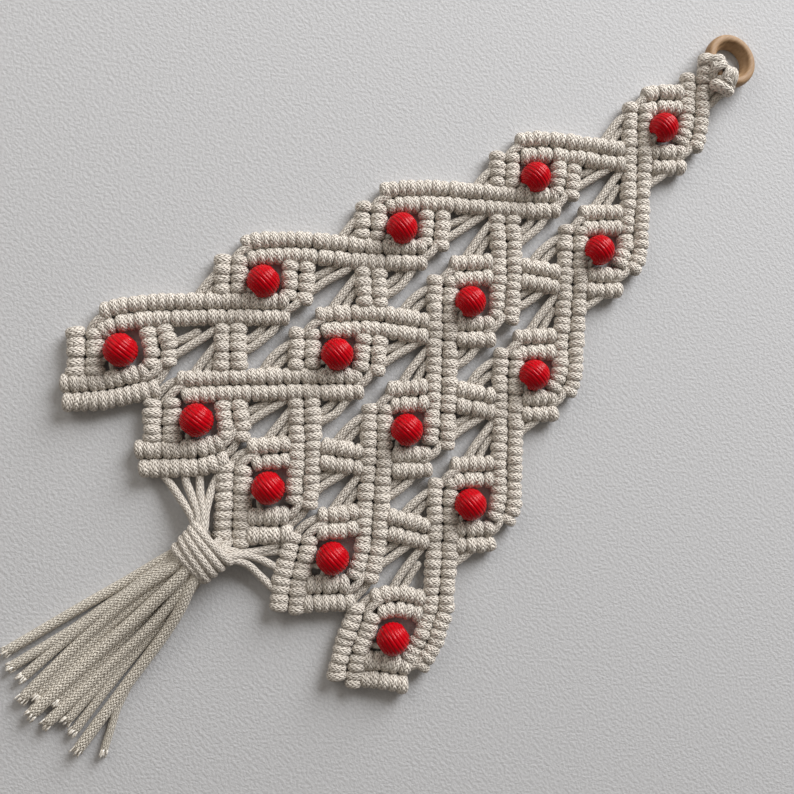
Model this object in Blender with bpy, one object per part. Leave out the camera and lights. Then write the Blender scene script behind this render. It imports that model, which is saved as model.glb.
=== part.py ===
"""A macrame tree wall hanging, lying face up.

Double rows of clove-hitch knots run down and outwards from a wooden ring and cross in a lattice
of diamonds. Each diamond holds a turned red bead on the cords that pass through it. The middle
cords are gathered under the lattice by a wrap knot and end in a fringe tassel.

The object is modelled in millimetres and scaled to metres at the end. X runs across the tree, Y
along it towards the ring, and Z up from the surface that it lies on.
"""
from math import asin, cos, pi, radians, sin, sqrt

import bmesh
import bpy
from mathutils import Matrix, Vector

MM = 0.001

# The lattice of beads
ROWS = 5
ROW_PITCH = 52.0
COLUMN_PITCH = 36.7
DROOP = 3.4                # how far the outer beads of the last row hang below its middle one

# How far each bead lies off the even lattice, row by row: (across, along)
BEAD_SHIFTS = (
    ((1.6, -1.4),),
    ((0.8, -1.1), (1.2, -1.1)),
    ((-0.4, -0.4), (0.5, -0.4), (0.8, 0.0)),
    ((-1.4, 0.9), (-0.2, 1.0), (1.3, 1.2), (1.6, 1.8)),
    ((1.6, -0.2), (1.6, -0.7), (0.6, 1.2), (-1.0, 1.1), (-0.3, 0.3)),
)

# The beads
BEAD_RADIUS = 6.0
BEAD_BORE_RADIUS = 2.25
BEAD_HEIGHT = 6.05         # from the surface to the bead's axis
BEAD_SIDES = 16
BEAD_SPANS = 6             # faces along a bead's outside, from hole to hole

# The double rows of knots
BAND_HALF_WIDTH = 5.6
BAND_HEIGHT = 6.0
LIFTED_BASE = 0.2          # bands that run down to the left clear the surface by this
RIDGE_STEP = 4.6           # from the crest of a ridge of knots to the hollow beside it
RIDGE_DEPTH = 0.1          # how much narrower and lower a hollow is than a crest, as a share
END_TAPER = 0.72           # size of a band's rounded end, as a share
END_LENGTH = 1.8
CROSSING_REACH = 4.2       # a crossed band stops this far from the middle of the leading one

# The cords
CORD_RADIUS = 1.5
CORD_HEIGHT = 3.0          # from the surface to the axis of a free cord
BEAD_CORD_RADIUS = 1.75    # the two cords in a bead, drawn together
CLEARANCE = 0.3            # between pieces that touch

# The ring, which leans: its far edge rests on the surface and its near edge on the cord
RING_RADIUS = 7.8
RING_SECTION_RADIUS = 2.6
RING_OFFSET = 37.7         # from the lattice's top up to the ring's centre
RING_FLOOR_GAP = 0.05
RING_STEPS = 36
RING_SIDES = 12
HEAD_CORD_RADIUS = 1.3
HEAD_ANGLES = (-20.5, 20.5)    # where the two lark's heads sit on the ring, from its foot
HEAD_HALF_ANGLE = 16.0         # how far each reaches round it on either side
HEAD_ALLOWANCE = 0.25          # added to the heads' clearance, as their faces cut its corners
HEAD_FLOOR_GAP = 0.3
HEAD_STEPS = 10
CROSSBAR_REACH = 4.0           # from the middle of the ring's section, outwards and up
CROSSBAR_RISE = 3.3
CROSSBAR_DROP = 0.8            # its ends lie this much lower than its middle
CROSSBAR_RADIUS = 1.7

# The tassel
TASSEL_X = 2.2
NECK_LENGTH = 5.0
WRAP_TOP = -235.3          # the wrap knot's upper end
WRAP_LENGTH = 14.0
WRAP_TURNS = 5
WRAP_HALF_WIDTH = 10.2
WRAP_WAIST = 0.86          # the wrap's lower end is this much narrower
WRAP_HEIGHT = 12.4
WRAP_HOLLOW = 0.9          # the size of the wrap between two turns, as a share
TASSEL_BASE = 0.25         # the wrap and the strands' roots clear the surface by this
ROOT_LENGTH = 13.5         # how far below the wrap the strands part
ROOT_HALF_WIDTH = 12.2
ROOT_HEIGHT = 5.6
ROOT_TOP_WIDTH = 0.84      # the roots' size inside the wrap, as a share of the wrap's
ROOT_TOP_HEIGHT = 0.8
ROOT_STEPS = (-0.2, 0.4, 1.0)
ROOT_MARGIN = 1.9          # from the roots' side to the first strand's middle
STRAND_OVERLAP = 2.6       # how far the strands start inside their roots
STRAND_STEPS = 4
STRAND_ROOT_WIDTH = 1.5
STRAND_ROOT_HEIGHT = 4.2
STRAND_WIDTH = 3.6
STRAND_HEIGHT = 3.4
STRAND_TOP = 0.7           # width of a strand's top, as a share of its base
FLAT_SHARE = 0.86          # where the tassel's rounded sections are cut off by the surface

# Half of a band's outline, as shares of its half width and height: (side, height)
BAND_SIDE = ((1.0, 0.0), (0.58, 1.0))
BAND_GROOVE = 0.62

# A band's middle line beside the bead it passes below, going right: (across, along)
BELOW_BEAD = ((-11.3, 0.6), (-8.7, -6.2), (-4.6, -10.7), (0.0, -14.8))
# and beside the bead it passes above
ABOVE_BEAD = ((0.0, 20.0), (6.2, 13.9), (9.8, 8.6), (11.3, -0.6))
# and below the last row, to the tree's points
BELOW_LAST_BEAD = ((-11.3, 0.6), (-9.0, -6.4), (-5.6, -11.6), (-1.2, -16.6), (3.6, -22.6))
# The first band starts under the lark's heads
TREE_TOP = ((-5.6, 24.2),)

# The free cords on one side of the gap between two beads: (out from the gap's middle, along)
UPPER_GAP_CORD = ((2.4, 30.0), (3.2, 22.0), (4.9, 11.5))
LOWER_GAP_CORD = ((5.4, -6.5), (4.1, -13.0), (3.3, -25.0))
# The free cord at the tree's edge: (out from the bead, along)
EDGE_CORD = ((12.9, -6.0), (13.6, -13.0), (12.0, -22.5))
# The cords inside a bead: (along, height)
BEAD_CORD = ((15.0, 3.4), (6.9, 6.05), (-6.9, 6.05), (-13.0, 3.6))

# The neck above the wrap knot: (share of its length, half width, height, base)
NECK_SECTIONS = ((1.0, 5.2, 4.6, 0.9), (0.5, 7.0, 7.4, 0.7), (0.0, 8.2, 9.2, 0.5))

# The heights of a gathered cord's four points
GATHERED_HEIGHTS = (3.0, 3.4, 4.4, 5.4)
# The cords gathered into the wrap knot: (across, along), from the last row's bands
GATHERED_CORDS = (
    ((-33.5, -226.4), (-25.0, -230.0), (-14.0, -231.4), (-0.5, -233.0)),
    ((-30.0, -220.5), (-21.0, -225.8), (-12.0, -229.0), (0.5, -232.7)),
    ((-12.8, -212.4), (-13.4, -219.0), (-9.0, -226.4), (1.0, -232.9)),
    ((33.5, -226.4), (24.5, -229.6), (15.5, -231.0), (4.8, -232.9)),
    ((30.0, -220.5), (21.0, -225.4), (14.0, -228.8), (3.9, -232.6)),
    ((12.8, -212.4), (15.0, -219.0), (12.4, -226.2), (3.2, -232.8)),
)

# The lark's heads' tails, down to the first bands: (across, along, height)
HEAD_TAIL_RADIUS = 2.1
HEAD_TAILS = (
    ((-4.0, 26.0, 5.6), (-5.4, 22.8, 4.4), (-5.0, 19.0, 3.3)),
    ((4.0, 26.0, 5.6), (6.0, 21.0, 4.2), (6.8, 13.0, 3.3)),
)

# The tassel's strands, left to right: (across at the end, along at the end)
TASSEL_STRANDS = (
    (-19.6, -314.4), (-14.6, -317.4), (-9.4, -316.8), (-4.6, -321.6), (-0.4, -320.8),
    (3.8, -323.2), (8.0, -321.8), (12.2, -316.4), (16.4, -317.8), (20.6, -318.6),
    (24.8, -320.4), (29.4, -314.6),
)

COTTON = (0.62, 0.57, 0.50)
BEECH = (0.50, 0.29, 0.14)
RED_LACQUER = (0.42, 0.005, 0.008)


def clear_scene():
    for item in list(bpy.data.objects):
        bpy.data.objects.remove(item, do_unlink=True)


def make_material(name, colour, roughness):
    material = bpy.data.materials.new(name)
    material.use_nodes = True
    shader = material.node_tree.nodes["Principled BSDF"]
    shader.inputs["Base Color"].default_value = (*colour, 1.0)
    shader.inputs["Roughness"].default_value = roughness
    shader.inputs["Metallic"].default_value = 0.0
    return material


def make_object(name, shape, material=None):
    """Turn a bmesh into an object, and use the bmesh up."""
    bmesh.ops.recalc_face_normals(shape, faces=shape.faces)
    mesh = bpy.data.meshes.new(name)
    shape.to_mesh(mesh)
    shape.free()
    item = bpy.data.objects.new(name, mesh)
    bpy.context.collection.objects.link(item)
    if material is not None:
        mesh.materials.append(material)
    return item


# ---------------------------------------------------------------- paths

def smooth_line(points, parts=10):
    """A Catmull-Rom curve through the points, as a fine polyline."""
    spots = [Vector(point) for point in points]
    spots = [2 * spots[0] - spots[1]] + spots + [2 * spots[-1] - spots[-2]]
    line = []
    for before, start, end, after in zip(spots, spots[1:], spots[2:], spots[3:]):
        for part in range(parts):
            t = part / parts
            line.append(0.5 * (2 * start + (end - before) * t
                               + (2 * before - 5 * start + 4 * end - after) * t ** 2
                               + (3 * start - before - 3 * end + after) * t ** 3))
    line.append(spots[-2])
    return line


def distances(line):
    """How far along the line each of its points lies."""
    total = [0.0]
    for start, end in zip(line, line[1:]):
        total.append(total[-1] + (end - start).length)
    return total


def point_at(line, along, distance):
    """The point of the line at a distance from its start, and the line's direction there."""
    for index in range(len(line) - 1):
        if distance <= along[index + 1] or index == len(line) - 2:
            step = line[index + 1] - line[index]
            share = (distance - along[index]) / step.length
            return line[index] + share * step, step.normalized()


def distance_of(line, along, spot):
    """How far along the line its point nearest to the spot lies."""
    nearest = min(range(len(line)), key=lambda index: (line[index] - spot).length)
    return along[nearest]


# ---------------------------------------------------------------- lofted shapes

def loft(mesh, rings, closed=False):
    """Join rings of points into one closed surface, capped at both ends unless it is a loop."""
    loops = [[mesh.verts.new(point) for point in ring] for ring in rings]
    pairs = list(zip(loops, loops[1:]))
    if closed:
        pairs.append((loops[-1], loops[0]))
    for first, second in pairs:
        count = len(first)
        for index in range(count):
            following = (index + 1) % count
            mesh.faces.new((first[index], first[following], second[following], second[index]))
    if not closed:
        mesh.faces.new(loops[0])
        mesh.faces.new(loops[-1])


def tube(mesh, points, radius, sides, closed=False, up=Vector((0, 0, 1))):
    """A round cord along the points."""
    spots = [Vector(point) for point in points]
    rings = []
    for index, spot in enumerate(spots):
        if closed:
            direction = spots[(index + 1) % len(spots)] - spots[index - 1]
        else:
            direction = spots[min(index + 1, len(spots) - 1)] - spots[max(index - 1, 0)]
        side = direction.cross(up).normalized()
        lift = side.cross(direction).normalized()
        rings.append([spot + radius * (cos(turn) * side + sin(turn) * lift)
                      for turn in (2 * pi * (k + 0.5) / sides for k in range(sides))])
    loft(mesh, rings, closed)


# ---------------------------------------------------------------- the knotted bands

def bead_spot(row, place):
    """The middle of a bead, seen from above."""
    out = (2 * place - row) / row if row else 0.0
    sag = DROOP * (row / (ROWS - 1)) ** 2 * out ** 4
    shift = Vector(BEAD_SHIFTS[row][place])
    return Vector(((place - row / 2) * COLUMN_PITCH, -row * ROW_PITCH - sag)) + shift


def right_leads(row, place):
    """Whether the band that runs down to the right lies unbroken above and below this bead."""
    return 2 * place >= row


def offset(spot, table, side):
    """A table's points beside a spot, mirrored where side is -1."""
    return [(spot.x + side * across, spot.y + along) for across, along in table]


def band_outline(scale):
    """A band's section: a flat base and two humps with a groove between them."""
    width = BAND_HALF_WIDTH * scale
    height = BAND_HEIGHT * scale
    right = [(side * width, rise * height) for side, rise in BAND_SIDE]
    left = [(-across, rise) for across, rise in reversed(right)]
    return right + [(0.0, BAND_GROOVE * height)] + left


def add_band(mesh, line, along, start, end, base):
    """A double row of knots between two distances along a line, ridged, with rounded ends."""
    inner_start = start + END_LENGTH
    inner_end = end - END_LENGTH
    steps = max(1, round((inner_end - inner_start) / RIDGE_STEP))
    stations = [(start, END_TAPER)]
    for step in range(steps + 1):
        scale = 1.0 if step % 2 == 0 else 1.0 - RIDGE_DEPTH
        stations.append((inner_start + (inner_end - inner_start) * step / steps, scale))
    stations.append((end, END_TAPER))
    rings = []
    for distance, scale in stations:
        spot, direction = point_at(line, along, distance)
        side = Vector((direction.y, -direction.x))
        ring = []
        for across, rise in band_outline(scale):
            place = spot + across * side
            ring.append((place.x, place.y, base + rise))
        rings.append(ring)
    loft(mesh, rings)


def add_broken_band(mesh, points, crossings, base):
    """Bands along a line that stops on both sides of each leading band that crosses it."""
    line = smooth_line(points)
    along = distances(line)
    start = 0.0
    for crossing in crossings:
        middle = distance_of(line, along, crossing)
        add_band(mesh, line, along, start, middle - CROSSING_REACH, base)
        start = middle + CROSSING_REACH
    add_band(mesh, line, along, start, along[-1], base)


def below_crossing(spot):
    return Vector((spot.x, spot.y + BELOW_BEAD[-1][1]))


def above_crossing(spot):
    return Vector((spot.x, spot.y + ABOVE_BEAD[0][1]))


def build_bands(side):
    """All the bands that run down to the right (side 1) or to the left (side -1)."""
    mesh = bmesh.new()
    base = 0.0 if side == 1 else LIFTED_BASE

    def leads(row, place):
        return right_leads(row, place) == (side == 1)

    def bead_at(row, step):
        """A row's beads, counted from the side that the bands come from."""
        place = step if side == 1 else row - step
        return bead_spot(row, place), place

    for row in range(ROWS - 1):
        for step in range(row + 1):
            upper, upper_place = bead_at(row, step)
            lower, lower_place = bead_at(row + 1, step + 1)
            points = offset(upper, BELOW_BEAD, side) + offset(lower, ABOVE_BEAD, side)
            crossings = []
            if not leads(row, upper_place):
                crossings.append(below_crossing(upper))
            if step < row and not leads(row + 1, lower_place):
                crossings.append(above_crossing(lower))
            add_broken_band(mesh, points, crossings, base)

    for row in range(ROWS):
        # The band over the row's first bead starts at the crossing above it
        bead, place = bead_at(row, 0)
        points = offset(bead, ABOVE_BEAD, side)
        if row == 0 and side == 1:
            points = offset(bead, TREE_TOP, side) + points
            add_broken_band(mesh, points, [], base)
        else:
            line = smooth_line(points)
            along = distances(line)
            add_band(mesh, line, along, CROSSING_REACH, along[-1], base)

    for step in range(ROWS):
        # The last row's lower bands: the leading one ends in the point, the other stops at it
        bead, place = bead_at(ROWS - 1, step)
        points = offset(bead, BELOW_LAST_BEAD, side)
        line = smooth_line(points)
        along = distances(line)
        end = along[-1]
        if not leads(ROWS - 1, place):
            crossing = min(range(len(line)), key=lambda index: abs(line[index].x - bead.x))
            end = along[crossing] - CROSSING_REACH
        add_band(mesh, line, along, 0.0, end, base)
    return mesh


# ---------------------------------------------------------------- the free cords

def flat_cord(mesh, points, height=CORD_HEIGHT):
    tube(mesh, [(x, y, height) for x, y in points], CORD_RADIUS, 4)


def build_free_cords():
    mesh = bmesh.new()
    for row in range(1, ROWS):
        for place in range(row):
            middle = (bead_spot(row, place) + bead_spot(row, place + 1)) / 2
            middle.y = -row * ROW_PITCH
            for side in (-1, 1):
                flat_cord(mesh, offset(middle, UPPER_GAP_CORD, side))
                if row < ROWS - 1:
                    flat_cord(mesh, offset(middle, LOWER_GAP_CORD, side))
    for row in range(ROWS - 1):
        flat_cord(mesh, offset(bead_spot(row, 0), EDGE_CORD, -1))
        flat_cord(mesh, offset(bead_spot(row, row), EDGE_CORD, 1))
    return mesh


def build_bead_cords():
    mesh = bmesh.new()
    for row in range(ROWS):
        for place in range(row + 1):
            bead = bead_spot(row, place)
            points = [(bead.x, bead.y + along, height) for along, height in BEAD_CORD]
            tube(mesh, points, BEAD_CORD_RADIUS, 5)
    return mesh


def build_gathered_cord(points):
    """A cord below the last row, which rises as it joins the others."""
    mesh = bmesh.new()
    tube(mesh, [(x, y, z) for (x, y), z in zip(points, GATHERED_HEIGHTS)], CORD_RADIUS, 5)
    return mesh


def flat_oval(middle, along, half_width, height, base=0.0, sides=16, squareness=0.75):
    """A flat-bottomed rounded section across the tassel."""
    ring = []
    for index in range(sides):
        turn = 2 * pi * (index + 0.5) / sides
        across = half_width * abs(cos(turn)) ** squareness * (1 if cos(turn) > 0 else -1)
        rise = abs(sin(turn)) ** squareness * (1 if sin(turn) > 0 else -1)
        lift = (max(-FLAT_SHARE, rise) + FLAT_SHARE) / (1 + FLAT_SHARE)
        ring.append((middle + across, along, base + height * lift))
    return ring


def build_neck():
    """The short neck that the gathered cords form above the wrap knot."""
    mesh = bmesh.new()
    end = WRAP_TOP + CLEARANCE
    loft(mesh, [flat_oval(TASSEL_X, end + share * NECK_LENGTH, half_width, height, base, 10)
                for share, half_width, height, base in NECK_SECTIONS])
    return mesh


# ---------------------------------------------------------------- the ring and its lark's heads

def head_inner_radius():
    """From the middle of the ring's section to the inside of a turn of cord round it."""
    return RING_SECTION_RADIUS + CLEARANCE + HEAD_ALLOWANCE


def ring_placement():
    """The ring's centre and lean."""
    near_height = head_inner_radius() + 2 * HEAD_CORD_RADIUS + HEAD_FLOOR_GAP
    far_height = RING_SECTION_RADIUS + RING_FLOOR_GAP
    lean = asin((near_height - far_height) / (2 * RING_RADIUS))
    return Vector((0.0, RING_OFFSET, (near_height + far_height) / 2)), lean


def build_ring(material):
    mesh = bmesh.new()
    centre, lean = ring_placement()
    rings = []
    for index in range(RING_STEPS):
        turn = 2 * pi * index / RING_STEPS
        out = Vector((cos(turn), sin(turn), 0.0))
        ring = []
        for k in range(RING_SIDES):
            angle = 2 * pi * (k + 0.5) / RING_SIDES
            radius = RING_RADIUS + RING_SECTION_RADIUS * cos(angle)
            ring.append(radius * out + Vector((0, 0, RING_SECTION_RADIUS * sin(angle))))
        rings.append(ring)
    loft(mesh, rings, closed=True)
    mesh.transform(Matrix.Translation(centre) @ Matrix.Rotation(-lean, 4, "X"))
    return make_object("wooden_ring", mesh, material)


def build_lark_head(angle):
    """A lark's head's turns round the ring, at an angle from the ring's foot."""
    mesh = bmesh.new()
    centre, lean = ring_placement()
    place = Matrix.Translation(centre) @ Matrix.Rotation(-lean, 4, "X")
    rings = []
    for step in range(HEAD_STEPS):
        turn = 2 * pi * step / HEAD_STEPS
        ring = []
        for depth, side in ((0, -1), (0, 0), (0, 1), (1, 1), (1, 0), (1, -1)):
            reach = head_inner_radius() + depth * 2 * HEAD_CORD_RADIUS
            bearing = radians(angle + side * HEAD_HALF_ANGLE)
            radius = RING_RADIUS + reach * cos(turn)
            local = Vector((radius * sin(bearing), -radius * cos(bearing), reach * sin(turn)))
            ring.append(place @ local)
        rings.append(ring)
    loft(mesh, rings, closed=True)
    return mesh


def build_crossbar(angle):
    """The cord that lies across a lark's head, over its turns."""
    mesh = bmesh.new()
    centre, lean = ring_placement()
    place = Matrix.Translation(centre) @ Matrix.Rotation(-lean, 4, "X")
    points = []
    for side in (-1, 0, 1):
        bearing = radians(angle + side * HEAD_HALF_ANGLE)
        radius = RING_RADIUS + CROSSBAR_REACH
        points.append(place @ Vector((radius * sin(bearing), -radius * cos(bearing),
                                      CROSSBAR_RISE - CROSSBAR_DROP * abs(side))))
    tube(mesh, points, CROSSBAR_RADIUS, 6)
    return mesh


def build_head_tail(points):
    mesh = bmesh.new()
    tube(mesh, points, HEAD_TAIL_RADIUS, 6)
    return mesh


# ---------------------------------------------------------------- body, beads and tassel

def union(base, extra):
    """Fuse one object into another and remove it."""
    modifier = base.modifiers.new("fuse", "BOOLEAN")
    modifier.operation = "UNION"
    modifier.solver = "EXACT"
    modifier.object = extra
    bpy.context.view_layer.update()
    evaluated = base.evaluated_get(bpy.context.evaluated_depsgraph_get())
    fused = bpy.data.meshes.new_from_object(evaluated)
    base.modifiers.clear()
    base.data = fused
    bpy.data.objects.remove(extra, do_unlink=True)


def build_body(material):
    body = make_object("knotted_body", build_bands(1), material)
    pieces = [build_bands(-1), build_free_cords(), build_bead_cords(), build_neck()]
    pieces += [build_gathered_cord(points) for points in GATHERED_CORDS]
    pieces += [build_lark_head(angle) for angle in HEAD_ANGLES]
    pieces += [build_crossbar(angle) for angle in HEAD_ANGLES]
    pieces += [build_head_tail(points) for points in HEAD_TAILS]
    for piece in pieces:
        union(body, make_object("fused_piece", piece))
    return body


def build_bead(name, spot, material):
    """A turned bead with its hole along the tree."""
    mesh = bmesh.new()
    limit = asin(sqrt(1 - (BEAD_BORE_RADIUS / BEAD_RADIUS) ** 2))
    rings = []
    for span in range(BEAD_SPANS + 1):
        latitude = limit * (2 * span / BEAD_SPANS - 1)
        radius = BEAD_RADIUS * cos(latitude)
        along = BEAD_RADIUS * sin(latitude)
        rings.append([(radius * cos(turn), along, radius * sin(turn))
                      for turn in (2 * pi * (k + 0.5) / BEAD_SIDES for k in range(BEAD_SIDES))])
    loft(mesh, rings, closed=True)
    bead = make_object(name, mesh, material)
    bead.location = (spot.x, spot.y, BEAD_HEIGHT)
    return bead


def build_wrap():
    """The wrap knot: turns of cord round the gathered cords."""
    mesh = bmesh.new()
    rings = []
    spans = 2 * WRAP_TURNS
    for span in range(spans + 1):
        share = span / spans
        crest = span % 2 == 1
        scale = (1.0 if crest else WRAP_HOLLOW) * (1 - (1 - WRAP_WAIST) * share)
        rings.append(flat_oval(TASSEL_X, WRAP_TOP - WRAP_LENGTH * share, WRAP_HALF_WIDTH * scale,
                               WRAP_HEIGHT * scale, TASSEL_BASE))
    loft(mesh, rings)
    return mesh


def build_roots():
    """The strands' upper ends, side by side below the wrap knot."""
    mesh = bmesh.new()
    start = WRAP_TOP - WRAP_LENGTH
    half_width = WRAP_HALF_WIDTH * WRAP_WAIST * ROOT_TOP_WIDTH
    height = WRAP_HEIGHT * WRAP_WAIST * ROOT_TOP_HEIGHT
    rings = []
    for share in ROOT_STEPS:
        part = max(0.0, share)
        rings.append(flat_oval(TASSEL_X, start - ROOT_LENGTH * share,
                               half_width + (ROOT_HALF_WIDTH - half_width) * part,
                               height + (ROOT_HEIGHT - height) * part, TASSEL_BASE, 12))
    loft(mesh, rings)
    return mesh


def build_strands():
    """The fringe: flat-bottomed strands that fan out from their roots."""
    mesh = bmesh.new()
    last = len(TASSEL_STRANDS) - 1
    start_y = WRAP_TOP - WRAP_LENGTH - ROOT_LENGTH + STRAND_OVERLAP
    spread = ROOT_HALF_WIDTH - ROOT_MARGIN
    for index, (end_x, end_y) in enumerate(TASSEL_STRANDS):
        start_x = TASSEL_X + spread * (2 * index / last - 1)
        rings = []
        for step in range(STRAND_STEPS + 1):
            share = step / STRAND_STEPS
            middle = start_x + (end_x - start_x) * share
            along = start_y + (end_y - start_y) * share
            half = (STRAND_ROOT_WIDTH + (STRAND_WIDTH - STRAND_ROOT_WIDTH) * share) / 2
            fall = (STRAND_ROOT_HEIGHT - STRAND_HEIGHT) * min(1.0, 2 * share)
            height = STRAND_ROOT_HEIGHT - fall
            rings.append([(middle - half, along, 0.0), (middle + half, along, 0.0),
                          (middle + STRAND_TOP * half, along, height),
                          (middle - STRAND_TOP * half, along, height)])
        loft(mesh, rings)
    return mesh


def build_tassel(material):
    tassel = make_object("wrapped_tassel", build_wrap(), material)
    for piece in (build_roots(), build_strands()):
        union(tassel, make_object("fused_piece", piece))
    return tassel


def settle(items):
    """Scale the object to metres and move it so that its box stands on the origin."""
    bpy.context.view_layer.update()
    corners = [item.matrix_world @ vertex.co for item in items for vertex in item.data.vertices]
    middle_x = (min(spot.x for spot in corners) + max(spot.x for spot in corners)) / 2
    middle_y = (min(spot.y for spot in corners) + max(spot.y for spot in corners)) / 2
    for item in items:
        item.data.transform(Matrix.Scale(MM, 4))
        item.location = (item.location - Vector((middle_x, middle_y, 0.0))) * MM


def shade(item):
    item.data.shade_smooth()
    item.data.set_sharp_from_angle(angle=radians(50))


def main():
    clear_scene()
    items = [build_body(make_material("cotton_body", COTTON, 0.9)),
             build_ring(make_material("beech_ring", BEECH, 0.5)),
             build_tassel(make_material("cotton_tassel", COTTON, 0.9))]
    for row in range(ROWS):
        for place in range(row + 1):
            name = f"bead_{row + 1}_{place + 1}"
            material = make_material(f"{name}_lacquer", RED_LACQUER, 0.3)
            items.append(build_bead(name, bead_spot(row, place), material))
    for item in items:
        shade(item)
    settle(items)


main()
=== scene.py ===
"""The looks of a macrame tree wall hanging that lies face up.

Every wrap of the clove-hitch bars is modelled, with the free cords between them, the grooved beads,
the turned ring in its lark's heads, and the wrap knot with its fringe.

Lengths are in millimetres in the frame's axes, and become metres when a mesh is made. X runs across
the tree, Y along it towards the ring, and Z up from the surface. Tables that are measured from the
top bead say so.
"""
import random
from math import ceil, cos, pi, radians, sin

import bpy
import numpy as np
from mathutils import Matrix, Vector


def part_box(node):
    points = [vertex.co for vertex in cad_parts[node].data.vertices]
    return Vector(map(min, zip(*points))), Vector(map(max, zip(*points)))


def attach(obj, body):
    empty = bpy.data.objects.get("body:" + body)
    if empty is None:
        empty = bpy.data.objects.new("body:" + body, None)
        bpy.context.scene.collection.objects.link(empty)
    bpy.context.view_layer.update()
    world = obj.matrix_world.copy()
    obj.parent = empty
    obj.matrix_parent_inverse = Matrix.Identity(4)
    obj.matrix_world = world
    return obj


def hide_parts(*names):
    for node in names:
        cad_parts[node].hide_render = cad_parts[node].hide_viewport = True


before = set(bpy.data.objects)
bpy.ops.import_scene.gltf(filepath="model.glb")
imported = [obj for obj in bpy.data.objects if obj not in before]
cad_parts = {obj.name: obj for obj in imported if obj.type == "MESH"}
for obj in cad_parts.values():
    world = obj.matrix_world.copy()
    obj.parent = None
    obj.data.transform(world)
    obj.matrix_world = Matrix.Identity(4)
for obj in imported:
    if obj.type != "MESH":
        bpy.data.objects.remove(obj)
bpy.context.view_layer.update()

MM = 0.001
ROWS = 5
RISE = np.array([0.0, 0.0, 1.0])
dice = random.Random(12)

# -------------------------------------------- sizes

# The braided cord: its pattern repeats along it every row and round it every wale
STITCH_ROW = 1.95
WALES = 8

# Bars of clove hitches, side by side in pairs
WRAP_PITCH = 3.25
BAR_HALF_WIDTH = 3.3
BAR_HEIGHT = 6.0
BAR_SPACING = 6.0
WRAP_THICKNESS = 1.3           # half of a wrap's cord, seen from the side
WRAP_PINCH = 0.12              # how much shorter a wrap is at the bar's sides
WRAP_HALF_LENGTH = 2.12        # half of a wrap's cord along the bar
WRAP_LIFT = 0.1                # a wrap's middle above half of the bar's height
WRAP_FLOOR = 0.15              # nothing of a wrap reaches below this
WRAP_STEPS = 20
WRAP_SIDES = 10
SQUARED = 0.85                 # a round form's power: the lower, the squarer
WRAP_SLANT = 7                 # degrees to either side, one way for each stretch of a bar
# How the wraps of a bar differ: in shares of the sizes above, in place, in degrees, and by how much
# one side is longer
PITCH_SHARES = (0.95, 1.08)
WIDTH_SHARES = (0.94, 1.07)
HEIGHT_SHARES = (0.93, 1.05)
LENGTH_SHARES = (0.94, 1.08)
ALONG_LINE, EVERY_OTHER = 0.2, 0.15
SPOT_SHIFT = 0.16
TURN_SPREAD = 5
TAPER = 0.1
SHORTEST_SPAN = 0.6 * WRAP_PITCH    # a shorter stretch of a bar gets no wraps
CORE_RADIUS = 1.9
CORE_SIDES = 8
CORE_STEP = 1.6
CORE_REACH = 0.8               # how far the cord inside runs past its wraps
LINE_STEP = 0.5                # between the points of a pair's middle line
CORE_EVERY = 4                 # how many of those points go to one point of the cord inside
CROSSING_CLEAR = 5.5           # a crossed bar's wraps start this far from its leader's middle

# The bars climb onto the cords under the ring this steeply, from this far above the top bead
RING_CLIMB = 0.38
RING_CLIMB_START = 20.5

# The two directions in which the pairs run, square to each other
UP_RIGHT = np.array([0.682, 0.731])
DOWN_RIGHT = np.array([0.731, -0.682])

# How far from each bead the middles of the four pairs round it lie, row by row:
# (to the lower left, upper right, upper left, lower right)
BESIDE_BEADS = (
    ((10.1, 13.0, 11.4, 12.2),),
    ((12.0, 12.2, 12.2, 9.5), (10.2, 13.2, 11.8, 12.5)),
    ((12.1, 12.2, 12.2, 10.0), (10.8, 13.5, 11.8, 11.4), (10.1, 13.3, 11.6, 12.1)),
    ((12.5, 12.3, 12.3, 10.4), (12.5, 12.2, 12.0, 11.4), (11.6, 12.4, 12.3, 12.6),
     (10.6, 13.5, 11.8, 12.8)),
    ((13.1, 12.9, 12.6, 13.4), (13.0, 12.4, 12.1, 13.7), (13.1, 12.3, 12.3, 14.4),
     (13.2, 12.5, 12.6, 13.7), (13.4, 13.9, 13.2, 14.4)),
)

# A pair's middle line beside the bead it passes below and the bead it passes above:
# (along its run from the bead, how much nearer to it than the table above says)
BELOW_BEAD = ((-11.0, 0.9), (-7.0, 0.3), (-2.0, 0.0), (5.0, 0.0), (12.0, 0.0))
ABOVE_BEAD = ((-14.0, -0.5), (-2.0, 0.0), (4.0, 0.4), (9.5, 1.2))
# The first pair starts under the lark's heads
TREE_TOP = ((-36.0, -0.6), (-30.0, -0.6), (-22.0, -0.6))
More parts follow.
